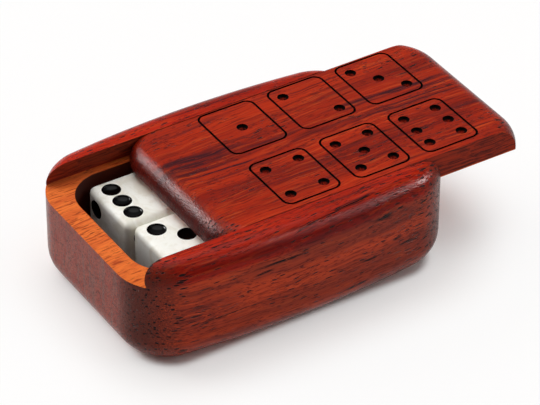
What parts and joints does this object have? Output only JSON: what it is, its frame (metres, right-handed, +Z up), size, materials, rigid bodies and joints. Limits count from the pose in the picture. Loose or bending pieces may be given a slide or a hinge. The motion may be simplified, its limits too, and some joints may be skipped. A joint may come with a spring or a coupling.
{
  "type": "dice box with sliding lid",
  "caption": "Hardwood dice box with bowed sides and rounded edges, a dovetailed sliding lid engraved with die faces, and loose dice inside.",
  "frame": {"origin": "middle of the box body's flat underside", "axes": "+X along the box, the way the lid slides open; +Y across the box, away from the picture's viewer; +Z up"},
  "size_m": [0.0926, 0.0508, 0.025],
  "materials": {
    "body_wood": "satin lacquered red-brown hardwood, bare orange wood on the cut slot",
    "lid_wood": "satin lacquered red-orange hardwood with burnt black engraving",
    "die_plastic": "marbled ivory plastic with gloss black pips"
  },
  "bodies": {
    "box": {"box_body": "body_wood"},
    "lid": {"sliding_lid": "lid_wood"},
    "die_1": {"die_1": "die_plastic"},
    "die_2": {"die_2": "die_plastic"},
    "die_3": {"die_3": "die_plastic"},
    "die_4": {"die_4": "die_plastic"},
    "die_5": {"die_5": "die_plastic"},
    "die_6": {"die_6": "die_plastic"}
  },
  "joints": [
    {"name": "lid_slide", "type": "slide", "parent": "box", "child": "lid", "axis": [1, 0, 0], "range_m": [-0.0191, 0.0484]},
    {"name": "die_1_slide", "type": "slide", "parent": "box", "child": "die_1", "axis": [1, 0, 0], "range_m": [-0.0018, 0]},
    {"name": "die_2_slide", "type": "slide", "parent": "box", "child": "die_2", "axis": [1, 0, 0], "range_m": [-0.005, 0]},
    {"name": "die_3_slide", "type": "slide", "parent": "box", "child": "die_3", "axis": [1, 0, 0], "range_m": [-0.0018, 0]},
    {"name": "die_4_slide", "type": "slide", "parent": "box", "child": "die_4", "axis": [1, 0, 0], "range_m": [-0.0018, 0]},
    {"name": "die_5_slide", "type": "slide", "parent": "box", "child": "die_5", "axis": [1, 0, 0], "range_m": [-0.0018, 0.0032]},
    {"name": "die_6_slide", "type": "slide", "parent": "box", "child": "die_6", "axis": [1, 0, 0], "range_m": [-0.0018, 0.0044]}
  ]
}
